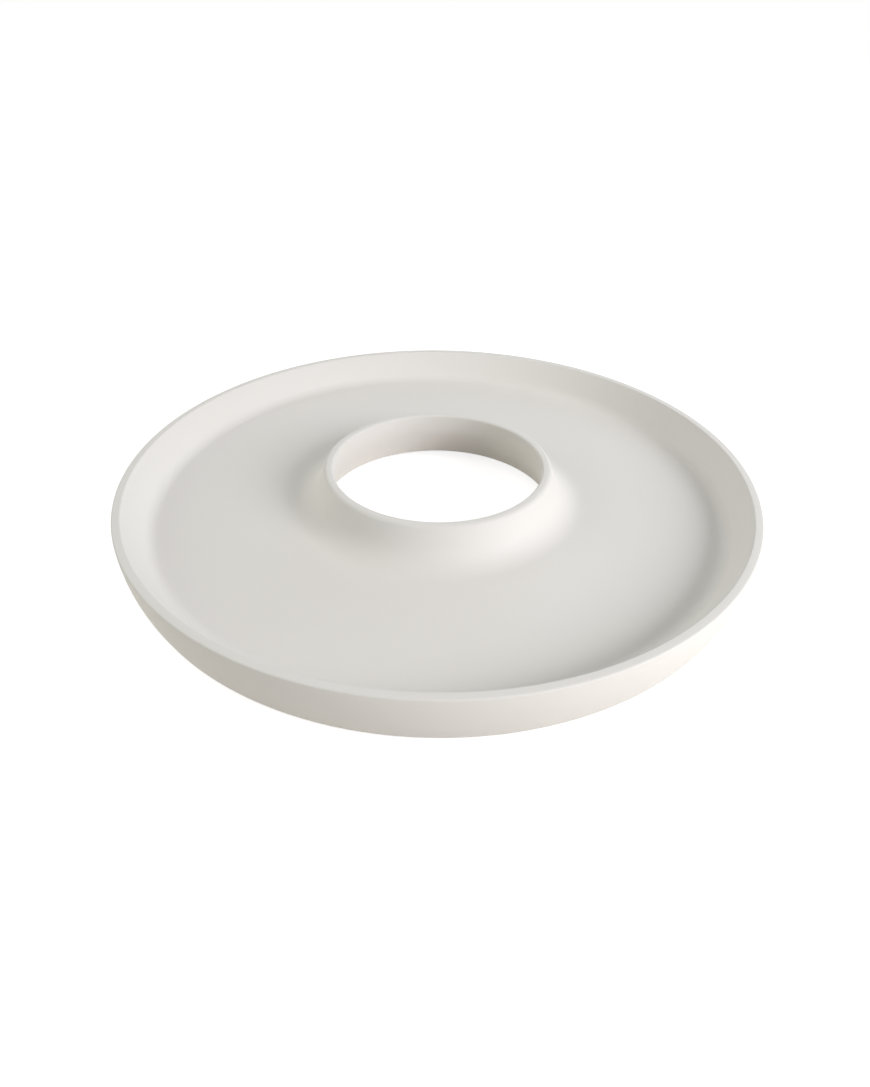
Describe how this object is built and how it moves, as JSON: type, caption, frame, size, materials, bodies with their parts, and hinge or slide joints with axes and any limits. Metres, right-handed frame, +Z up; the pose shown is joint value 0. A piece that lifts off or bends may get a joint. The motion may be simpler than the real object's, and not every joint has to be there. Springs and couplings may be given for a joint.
{
  "type": "candle plate",
  "caption": "Round candle plate: a shallow tray with a low rim and a raised flared collar round a through hole that a pillar candle stands in, on felt feet.",
  "frame": {"origin": "on the table under the middle of the plate, level with the bottom of the felt feet", "axes": "+Z up along the axis of the collar; the felt feet stand on the diagonals between X and Y"},
  "size_m": [0.24, 0.24, 0.0235],
  "materials": {
    "ceramic": "matt off-white",
    "felt": "pressed wool felt"
  },
  "bodies": {
    "root": {"plate_body": "ceramic", "felt_foot_1": "felt", "felt_foot_2": "felt", "felt_foot_3": "felt", "felt_foot_4": "felt"}
  },
  "joints": []
}
